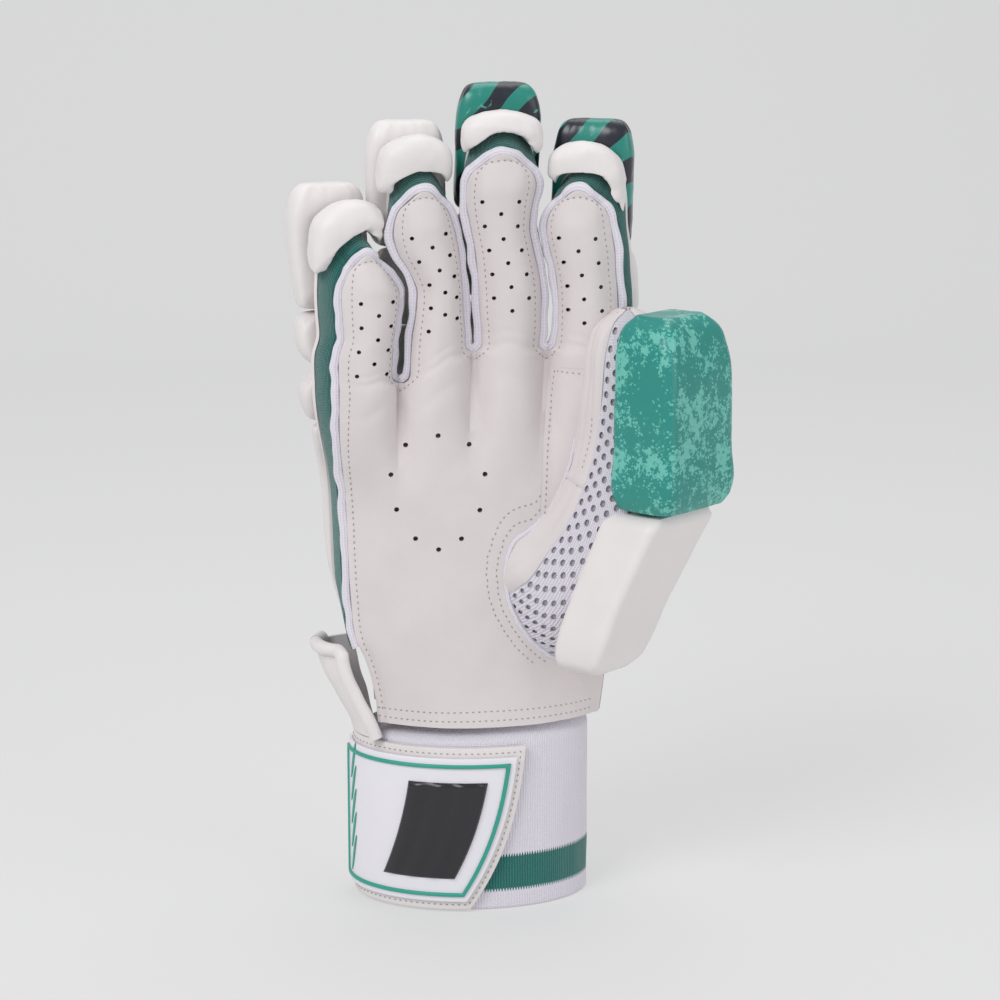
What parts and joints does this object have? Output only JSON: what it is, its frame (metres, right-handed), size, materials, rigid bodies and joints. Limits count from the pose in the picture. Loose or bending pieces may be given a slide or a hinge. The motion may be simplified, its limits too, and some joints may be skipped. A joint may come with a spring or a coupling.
{
  "type": "cricket batting glove",
  "caption": "Right-hand padded batting glove standing on its knit cuff, palm to the front, with segmented finger rolls, thumb guards and a wrist strap.",
  "frame": {"origin": "centre of the bounding box, on the surface that the cuff's rim stands on", "axes": "+Z from the wrist to the fingertips, +X towards the thumb, -Y out of the palm, +Y out of the back of the hand"},
  "size_m": [0.1522, 0.0842, 0.288],
  "materials": {
    "palm_leather": "soft matt sheepskin, warm white",
    "pearl_leather": "smooth satin coated leather, white",
    "banded_print": "satin coated leather, green with dark bands",
    "speckled_print": "satin coated leather, green with mint speckle",
    "lilac_edging": "soft knit edging, lilac white",
    "green_knit": "ribbed knit, deep green",
    "white_knit": "ribbed knit, white with a green stripe",
    "air_mesh": "white air mesh with oval holes",
    "strap_backing": "cream hook and loop strap",
    "moulded_white": "white moulded rubber, satin",
    "green_rubber": "green moulded rubber, satin",
    "black_rubber": "black moulded rubber, satin"
  },
  "bodies": {
    "root": {"back_panel": "pearl_leather", "badge_border": "green_rubber", "badge_grip": "black_rubber", "cuff": "white_knit", "flap_binding": "pearl_leather", "heel_gusset": "white_knit", "index_base_roll": "pearl_leather", "index_cap": "pearl_leather", "index_gusset": "green_knit", "index_hand_pad": "pearl_leather", "index_mid_roll": "pearl_leather", "index_tip_roll": "banded_print", "middle_base_roll": "pearl_leather", "middle_cap": "pearl_leather", "middle_gusset": "green_knit", "middle_hand_pad": "pearl_leather", "middle_mid_roll": "pearl_leather", "middle_tip_roll": "banded_print", "palm": "palm_leather", "palm_rim": "lilac_edging", "pinky_base_roll": "pearl_leather", "pinky_cap": "pearl_leather", "pinky_gusset": "green_knit", "pinky_hand_pad": "pearl_leather", "pinky_mid_roll": "pearl_leather", "pinky_tip_roll": "pearl_leather", "ring_base_roll": "pearl_leather", "ring_cap": "pearl_leather", "ring_gusset": "green_knit", "ring_hand_pad": "pearl_leather", "ring_mid_roll": "pearl_leather", "ring_tip_roll": "pearl_leather", "strap": "strap_backing", "strap_face": "moulded_white", "thumb_back": "palm_leather", "thumb_base_guard": "pearl_leather", "thumb_inner": "palm_leather", "thumb_mesh": "air_mesh", "thumb_tip_guard": "speckled_print", "web_patch": "palm_leather", "wrist_flap": "pearl_leather", "wrist_pad": "pearl_leather"}
  },
  "joints": []
}
